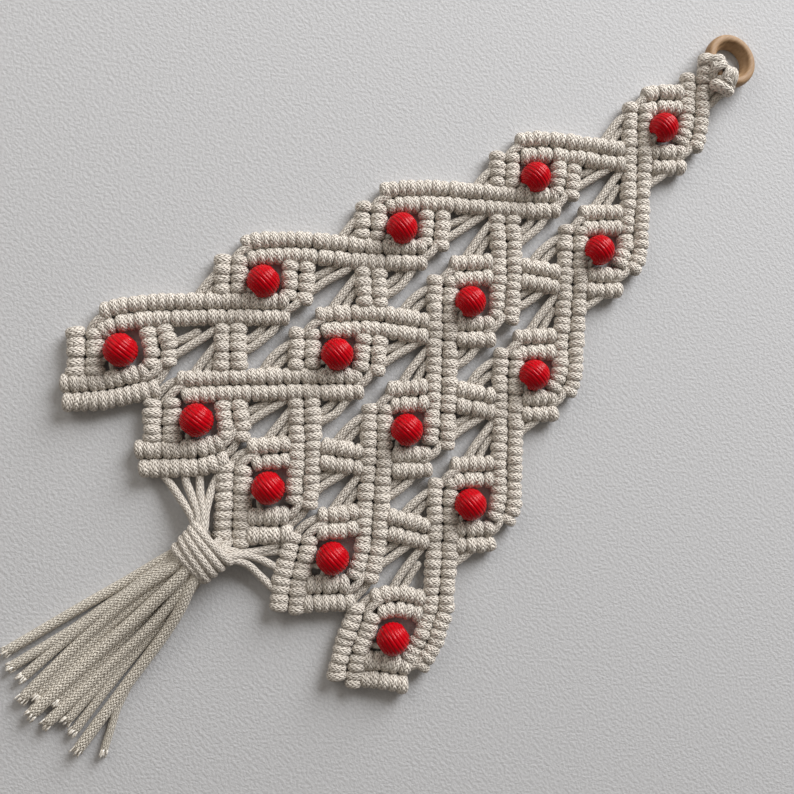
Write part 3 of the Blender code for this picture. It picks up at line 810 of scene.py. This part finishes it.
# How far the beads are turned on their cords, in degrees: at most, and some by row and place
OTHER_TURN = 3
BEAD_TURNS = {(4, 0): 8, (4, 1): 9, (4, 4): -8, (3, 2): 4, (3, 3): -2, (2, 1): -2, (1, 0): 3}


def make_bead(row, place, material):
    """A turned bead with fine grooves round it and a hole along the tree."""
    limit = pi / 2 - np.arcsin(BEAD_HOLE_RADIUS / BEAD_RADIUS)
    latitude = np.linspace(-limit, limit, BEAD_STEPS)
    wave = np.abs(np.cos(BEAD_GROOVES * pi * (latitude + limit) / (2 * limit)))
    groove = GROOVE_DEPTH * wave ** GROOVE_POWER
    profile = np.column_stack([(BEAD_RADIUS - groove) * np.cos(latitude),
                               (BEAD_RADIUS - groove) * np.sin(latitude)])
    bore = np.array([[BORE_RADIUS, profile[-1, 1] - BORE_INSET],
                     [BORE_RADIUS, profile[0, 1] + BORE_INSET]])
    profile = np.vstack([profile, bore])
    turn = turned(BEAD_SIDES)
    rings = np.stack([profile[:, 0, None] * np.cos(turn),
                      np.broadcast_to(profile[:, 1, None], (len(profile), BEAD_SIDES)),
                      -profile[:, 0, None] * np.sin(turn)], -1)
    tilt = radians(BEAD_TURNS.get((row, place), about(OTHER_TURN)))
    rings = rings * BEAD_SIZES[row]
    x, y = rings[..., 0].copy(), rings[..., 1].copy()
    rings[..., 0] = x * cos(tilt) - y * sin(tilt)
    rings[..., 1] = x * sin(tilt) + y * cos(tilt)
    mesh = CordMesh()
    mesh.add(rings + bead_middle(row, place) + BEAD_SETTLED, np.arange(len(profile) + 1), loop=True)
    bead = mesh.build(f"red_bead_{row + 1}_{place + 1}", material)
    bead.data.set_sharp_from_angle(angle=radians(SHARP_ANGLE))
    return bead


# -------------------------------------------- ring and lark's heads

RING_BASE = 2.6                # half of its solid's thickness
# The ring's section, round from the foot of its inner wall over the top: (radius, height)
RING_SECTION = ((6.0, -1.9), (6.0, -1.3), (6.2, -0.6), (6.5, 0.1), (7.1, 0.9), (7.5, 1.8),
                (8.2, 2.25), (9.3, 2.3), (10.2, 1.9), (10.65, 0.7), (10.6, -1.2), (10.0, -2.2),
                (8.6, -2.5), (6.8, -2.5), (6.2, -2.4))
RING_STEPS = 120
RING_PARTS = 4                 # steps between two points of the section
# Turns of cord round the ring: (degrees from its foot, the turn's radius)
HEAD_TURNS = ((-31.0, 3.55), (-10.0, 3.65), (18.0, 3.5), (38.0, 3.7))
TURN_RADIUS = 8.0
TURN_HALF_WIDTH = 1.7
TURN_HALF_HEIGHT = 1.2
TURN_STEPS = 24
HEAD_STEP = 0.6


def ring_placement():
    """The ring's middle and lean, from where its solid lies."""
    low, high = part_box("wooden_ring")
    low, high = np.array(low) / MM, np.array(high) / MM
    lean = np.arcsin((high[2] - low[2] - 2 * RING_BASE) / (high[0] - low[0] - 2 * RING_BASE))
    return (low + high) / 2, lean


def leaned(points):
    """Points in the ring's own frame, placed as it leans: its foot is up on the cords."""
    middle, lean = ring_placement()
    x, y, z = points[..., 0], points[..., 1], points[..., 2]
    return np.stack([x, y * cos(lean) + z * sin(lean), -y * sin(lean) + z * cos(lean)],
                    -1) + middle


def make_ring(material):
    turn = turned(RING_STEPS)
    # Three times round, so that the middle one closes smoothly
    whole = RING_PARTS * len(RING_SECTION)
    section = smooth_line(RING_SECTION * 3, RING_PARTS)[whole:2 * whole]
    radius, rise = section[:, 0], section[:, 1]
    rings = np.stack([radius[None] * np.cos(turn)[:, None], radius[None] * np.sin(turn)[:, None],
                      np.broadcast_to(rise[None], (RING_STEPS, len(section)))], -1)
    mesh = CordMesh()
    mesh.add(leaned(rings), np.arange(RING_STEPS + 1), loop=True)
    return mesh.build("beech_ring", material)


# The cords that lie across the lark's heads, and the tails below them, measured from the top bead:
# a radius and points as (across, along, height)
HEAD_BARS = (
    (1.7, ((-8.8, 28.0, 4.4), (-7.6, 29.8, 6.6), (-5.2, 30.2, 8.0), (-3.0, 28.9, 8.6),
           (-1.3, 27.3, 7.8), (-0.1, 25.2, 5.2))),
    (2.35, ((1.2, 24.4, 5.4), (3.0, 25.3, 7.2), (5.4, 26.4, 7.7), (7.6, 27.5, 7.0),
            (9.4, 28.4, 5.0))),
    (1.3, ((1.0, 27.2, 6.4), (3.2, 28.2, 8.8), (6.0, 29.2, 8.8), (8.8, 29.6, 6.4))),
)
HEAD_TAILS = (
    (1.5, ((-2.0, 28.6, 4.4), (0.2, 25.6, 4.6), (2.2, 23.2, 3.6), (3.2, 20.4, 2.6))),
    (1.5, ((3.4, 26.4, 4.6), (3.6, 24.4, 4.6), (3.9, 22.0, 3.8), (4.6, 19.6, 2.8))),
    (1.7, ((7.4, 27.4, 4.4), (6.9, 24.6, 4.0), (7.2, 21.4, 3.2), (7.0, 17.4, 2.6))),
)


def from_top(points):
    """Points measured from the top bead, in the frame's axes."""
    return [(TOP[0] + x, TOP[1] + y, z) for x, y, z in points]


def make_lark_heads(material):
    """The turns of cord round the ring, the cords across them and their tails."""
    mesh = CordMesh()
    turn, around = turned(TURN_STEPS), turned(FINE_SIDES)
    for bearing, reach in HEAD_TURNS:
        bearing = radians(bearing)
        out = np.array([sin(bearing), -cos(bearing), 0.0])
        sideways = np.array([cos(bearing), sin(bearing), 0.0])
        direction = np.cos(turn)[:, None] * out + np.sin(turn)[:, None] * RISE
        path = TURN_RADIUS * out + reach * direction
        rings = (path[:, None]
                 + TURN_HALF_HEIGHT * np.cos(around)[None, :, None] * direction[:, None]
                 + TURN_HALF_WIDTH * np.sin(around)[None, :, None] * sideways)
        rim = 2 * pi * reach * np.arange(TURN_STEPS + 1) / TURN_STEPS
        mesh.add(leaned(rings), rim / STITCH_ROW, loop=True)
    for radius, points in HEAD_BARS + HEAD_TAILS:
        add_cord(mesh, from_top(points), radius, FINE_SIDES, HEAD_STEP)
    return mesh.build("lark_heads", material)


# -------------------------------------------- gathered cords, wrap and tassel

# From under the last row's bars into the wrap knot, measured from the top bead
GATHERED_CORDS = (
    ((-31.0, -231.6, 2.6), (-26.0, -232.0, 3.0), (-19.0, -232.9, 4.2), (-10.5, -234.2, 6.4),
     (-5.6, -237.0, 7.4)),
    ((-25.4, -224.6, 2.6), (-21.6, -227.4, 3.0), (-16.2, -229.4, 4.4), (-8.8, -232.4, 7.2),
     (-4.6, -237.0, 8.6)),
    ((-22.0, -220.0, 2.4), (-18.2, -223.8, 2.8), (-13.6, -227.4, 4.6), (-7.8, -230.8, 7.4),
     (-3.6, -237.0, 9.0)),
    ((-15.8, -216.0, 2.4), (-13.4, -222.0, 3.4), (-8.8, -229.0, 6.4), (-4.2, -234.0, 8.4),
     (-2.6, -239.0, 9.4)),
    ((34.0, -230.6, 2.4), (28.6, -231.2, 3.0), (21.3, -231.5, 3.2), (15.4, -231.9, 4.6),
     (10.4, -234.5, 7.0), (8.0, -238.0, 8.0)),
    ((28.0, -223.4, 2.4), (24.8, -224.8, 2.8), (20.9, -226.2, 3.0), (17.0, -227.6, 3.4),
     (13.0, -229.8, 4.8), (9.6, -233.5, 7.2), (7.6, -238.0, 8.4)),
    ((20.4, -214.6, 2.0), (18.4, -218.4, 2.2), (17.4, -221.4, 2.8), (14.9, -226.2, 3.2),
     (11.1, -230.5, 4.2), (7.2, -233.5, 6.4), (5.6, -238.0, 8.8)),
    ((21.6, -219.4, 1.8), (17.8, -223.6, 2.4), (14.0, -228.6, 3.4), (10.0, -233.0, 5.2),
     (7.0, -238.0, 6.8)),
    ((1.0, -226.0, 1.8), (2.2, -231.0, 3.2), (2.4, -235.0, 7.0), (2.4, -239.0, 9.0)),
    ((5.4, -224.0, 1.8), (5.8, -229.5, 2.8), (5.2, -234.6, 6.6), (4.6, -239.0, 9.0)),
)
GATHERED_RADIUS = 1.5

# The wrap knot's middle, across from the top bead, and how far its turns are off the surface
KNOT_X = 1.3
KNOT_BASE = 0.3
KNOT_STEPS = 64
# Its turns: (along, half width, height, cord radius, how far the right side drops)
KNOT_TURNS = (
    (-235.2, 11.0, 11.8, 1.55, 0.2),
    (-238.0, 10.5, 12.3, 1.7, 0.9),
    (-240.9, 10.1, 12.4, 1.7, 1.3),
    (-243.7, 9.9, 12.0, 1.7, 1.6),
    (-245.9, 9.5, 11.3, 1.8, 0.2),
)
# The fringe's strands are braided finer than the other cords, and lie a little flat
STRAND_SIDES = 16
STRAND_ROW = 1.6
STRAND_WALES = 10
STRAND_FLAT = 0.94
# The threads at each cut end: how far inside the strand they start, over what share of its radius,
# how they spread, how far they reach past the cut, to a side and up, and how low at most
THREADS = 30
THREAD_ROOT = 1.6
THREAD_SPREAD, THREAD_SPLAY = 0.9, 1.2
THREAD_REACHES = (0.1, 1.6)
THREAD_SWAY = 0.4
THREAD_BOW = 0.1
THREAD_FLOOR = 0.3
THREAD_RADII = (0.2, 0.36)
THREAD_SIDES = 6
THREAD_STEP = 1.0
THREAD_ENDS = (1.0, 0.7)
# Measured from the top bead: a radius and (across, along, height) points
STRANDS = (
    (1.9, ((-4.6, -245, 5.0), (-6.4, -253, 4.2), (-9.0, -266, 2.4), (-13.6, -286, 2.0),
           (-19.8, -314.4, 1.9))),
    (1.9, ((-3.0, -245, 6.0), (-5.0, -258, 5.0), (-7.2, -280, 2.6), (-10.6, -298, 2.0),
           (-14.6, -317.0, 1.9))),
    (1.9, ((-1.8, -245, 7.2), (-3.4, -257, 6.0), (-6.6, -278, 3.8), (-8.4, -296, 2.2),
           (-9.0, -316.6, 1.9))),
    (2.1, ((-0.8, -245, 8.2), (-2.4, -255, 7.2), (-4.4, -272, 4.6), (-4.4, -294, 2.4),
           (-3.4, -321.6, 2.1))),
    (1.7, ((0.4, -245, 6.0), (-0.8, -262, 5.0), (-1.4, -284, 2.4), (-1.4, -304, 1.8),
           (-0.8, -317.6, 1.7))),
    (2.35, ((2.0, -245, 9.0), (2.6, -254, 8.0), (2.8, -272, 5.4), (2.8, -296, 2.8),
            (2.7, -323.2, 2.3))),
    (2.1, ((4.8, -245, 8.0), (6.4, -254, 6.8), (8.4, -272, 4.4), (8.9, -296, 2.4),
           (8.9, -321.8, 2.1))),
    (1.8, ((5.6, -245, 5.6), (7.6, -258, 4.6), (9.8, -276, 2.6), (10.9, -294, 2.0),
           (13.2, -316.2, 1.8))),
    (2.1, ((5.4, -245, 8.6), (7.8, -252, 8.0), (11.2, -260, 6.4), (14.4, -272, 4.2),
           (18.2, -292, 2.4), (23.6, -320.6, 2.1))),
    (1.7, ((6.4, -245, 4.0), (9.4, -262, 3.2), (11.8, -280, 1.9), (14.2, -297, 1.8),
           (17.8, -317.2, 1.7))),
    (1.45, ((7.4, -245, 3.4), (11.6, -264, 2.6), (16.4, -284, 1.6), (21.6, -299, 1.5),
            (26.0, -306.8, 1.5), (30.6, -314.8, 1.5))),
    (1.7, ((-3.8, -245, 3.0), (-5.6, -262, 2.4), (-8.0, -280, 1.8), (-9.6, -292, 1.7),
           (-11.4, -303.0, 1.7))),
    (1.7, ((1.6, -245, 3.0), (0.8, -262, 2.4), (0.6, -284, 1.8), (0.4, -302, 1.7),
           (0.4, -314.0, 1.7))),
    (1.7, ((4.0, -245, 3.0), (4.6, -262, 2.4), (5.4, -284, 1.8), (5.8, -302, 1.7),
           (6.0, -314.0, 1.7))),
)


def make_gathered_cords(material):
    mesh = CordMesh()
    for points in GATHERED_CORDS:
        add_cord(mesh, from_top(points), GATHERED_RADIUS, FINE_SIDES)
    return mesh.build("gathered_cords", material)


def make_wrap_knot(material):
    """Turns of cord round the gathered cords, each a slanted oval."""
    mesh = CordMesh()
    turn, around = turned(KNOT_STEPS), turned(FINE_SIDES)
    for along, half_width, height, radius, drop in KNOT_TURNS:
        path = np.stack([
            TOP[0] + KNOT_X + (half_width - radius) * squared(np.cos(turn)),
            TOP[1] + along - drop * np.cos(turn),
            KNOT_BASE + height / 2 + (height / 2 - radius) * squared(np.sin(turn))], 1)
        slopes = unit_rows(np.roll(path, -1, 0) - np.roll(path, 1, 0))
        lengthways = np.array([0.0, 1.0, 0.0])
        lengthways = unit_rows(lengthways - slopes * (slopes @ lengthways)[:, None])
        out = np.cross(slopes, lengthways)
        rings = path[:, None] + radius * (np.cos(around)[None, :, None] * out[:, None]
                                          + np.sin(around)[None, :, None] * lengthways[:, None])
        rim = arc_lengths(np.vstack([path, path[:1]]))
        mesh.add(rings[:, ::-1], rim / STITCH_ROW, loop=True)
    return mesh.build("wrap_knot", material)


def add_frayed_tip(mesh, tip, slope, radius):
    """Short loose threads at a strand's cut end."""
    side = np.array([-slope[1], slope[0], 0.0])
    for _ in range(THREADS):
        angle, share = dice.uniform(0, 2 * pi), dice.random() ** 0.5
        out = radius * THREAD_SPREAD * share * (cos(angle) * side + sin(angle) * RISE)
        start = tip + out - THREAD_ROOT * slope
        past = dice.uniform(*THREAD_REACHES) * slope
        end = tip + THREAD_SPLAY * out + past + about(THREAD_SWAY) * side
        end[2] = max(end[2], THREAD_FLOOR)
        middle = (start + end) / 2 + THREAD_BOW * RISE
        add_cord(mesh, [start, middle, end], dice.uniform(*THREAD_RADII), THREAD_SIDES,
                 THREAD_STEP, ends=THREAD_ENDS)


def make_strands(material, frayed):
    """The fringe's strands and, as a piece of their own, their frayed tips."""
    mesh, tips = CordMesh(), CordMesh()
    for radius, points in STRANDS:
        line = add_cord(mesh, from_top(points), radius, STRAND_SIDES, flat=STRAND_FLAT,
                        row=STRAND_ROW, wales=STRAND_WALES)
        slope = line[-1] - line[-3]
        add_frayed_tip(tips, line[-1], slope / np.linalg.norm(slope), radius)
    return [mesh.build("tassel_strands", material), tips.build("frayed_tips", frayed)]


# -------------------------------------------- camera, light, floor

# The place in metres, the turn in degrees, the lens and the sensor's width in millimetres
CAMERA_PLACE = (-0.0174, -0.0471, 0.3382)
CAMERA_TURN = (0.917, -7.275, 47.404)
CAMERA_LENS = 40.8
CAMERA_SENSOR = 36.0

# (place, size, power, colour), in metres and watts
LIGHTS = {
    "window": ((-0.248, 1.5776, 0.76), 1.1, 49.0, (0.985, 0.99, 1.0)),
    "fill": ((-1.1, -0.1, 0.62), 0.9, 4.5, (1.0, 0.965, 0.91)),
}
ROOM_COLOUR = (1.0, 0.905, 0.80, 1.0)
ROOM_STRENGTH = 0.18
FLOOR_REACH = 8.0


def make_camera():
    camera = bpy.data.objects.new("camera", bpy.data.cameras.new("camera"))
    camera.location = CAMERA_PLACE
    camera.rotation_euler = [radians(turn) for turn in CAMERA_TURN]
    camera.data.lens = CAMERA_LENS
    camera.data.sensor_width = CAMERA_SENSOR
    camera.data.clip_start = 0.01
    bpy.context.scene.collection.objects.link(camera)
    bpy.context.scene.camera = camera


def make_light(name, place, size, power, colour):
    """A square lamp that faces the object."""
    lamp = bpy.data.lights.new(name, "AREA")
    lamp.size = size
    lamp.energy = power
    lamp.color = colour
    light = bpy.data.objects.new(name, lamp)
    light.location = place
    light.rotation_euler = (-Vector(place)).to_track_quat("-Z", "Y").to_euler()
    bpy.context.scene.collection.objects.link(light)


def make_studio():
    for name, settings in LIGHTS.items():
        make_light(name, *settings)
    world = bpy.data.worlds.new("studio")
    world.use_nodes = True
    background = world.node_tree.nodes["Background"].inputs
    background["Color"].default_value = ROOM_COLOUR
    background["Strength"].default_value = ROOM_STRENGTH
    bpy.context.scene.view_settings.view_transform = "Standard"
    bpy.context.scene.world = world

    mesh = bpy.data.meshes.new("floor")
    corners = [(x * FLOOR_REACH, y * FLOOR_REACH, 0) for x, y in ((-1, -1), (1, -1), (1, 1), (-1, 1))]
    mesh.from_pydata(corners, [], [(0, 1, 2, 3)])
    mesh.materials.append(paper("pale_paper"))
    floor = bpy.data.objects.new("floor", mesh)
    bpy.context.scene.collection.objects.link(floor)


# -------------------------------------------- the whole

def dress(piece, slot, *nodes):
    """Gives a piece its body and hides the solids it is drawn for. The slot is not used."""
    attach(piece, "root")
    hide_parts(*nodes)


def main():
    make_camera()
    make_studio()
    knotted = cotton("knotted_cotton", CREAM, CREAM_SHADE)
    loose = cotton("loose_cotton", TASSEL_CREAM, TASSEL_SHADE)
    body = make_bars(make_pairs(), knotted)
    body += [make_free_cords(knotted), make_bead_cords(knotted), make_lark_heads(knotted),
             make_gathered_cords(knotted)]
    for piece in body:
        dress(piece, "cotton_cord", "knotted_body")
    for piece in [make_wrap_knot(knotted)] + make_strands(loose, yarn("frayed_cotton")):
        dress(piece, "cotton_tassel", "wrapped_tassel")
    dress(make_ring(beech("turned_beech")), "beech", "wooden_ring")
    red = lacquer("red_lacquer")
    for row in range(ROWS):
        for place in range(row + 1):
            dress(make_bead(row, place, red), "red_lacquer", f"bead_{row + 1}_{place + 1}")


main()
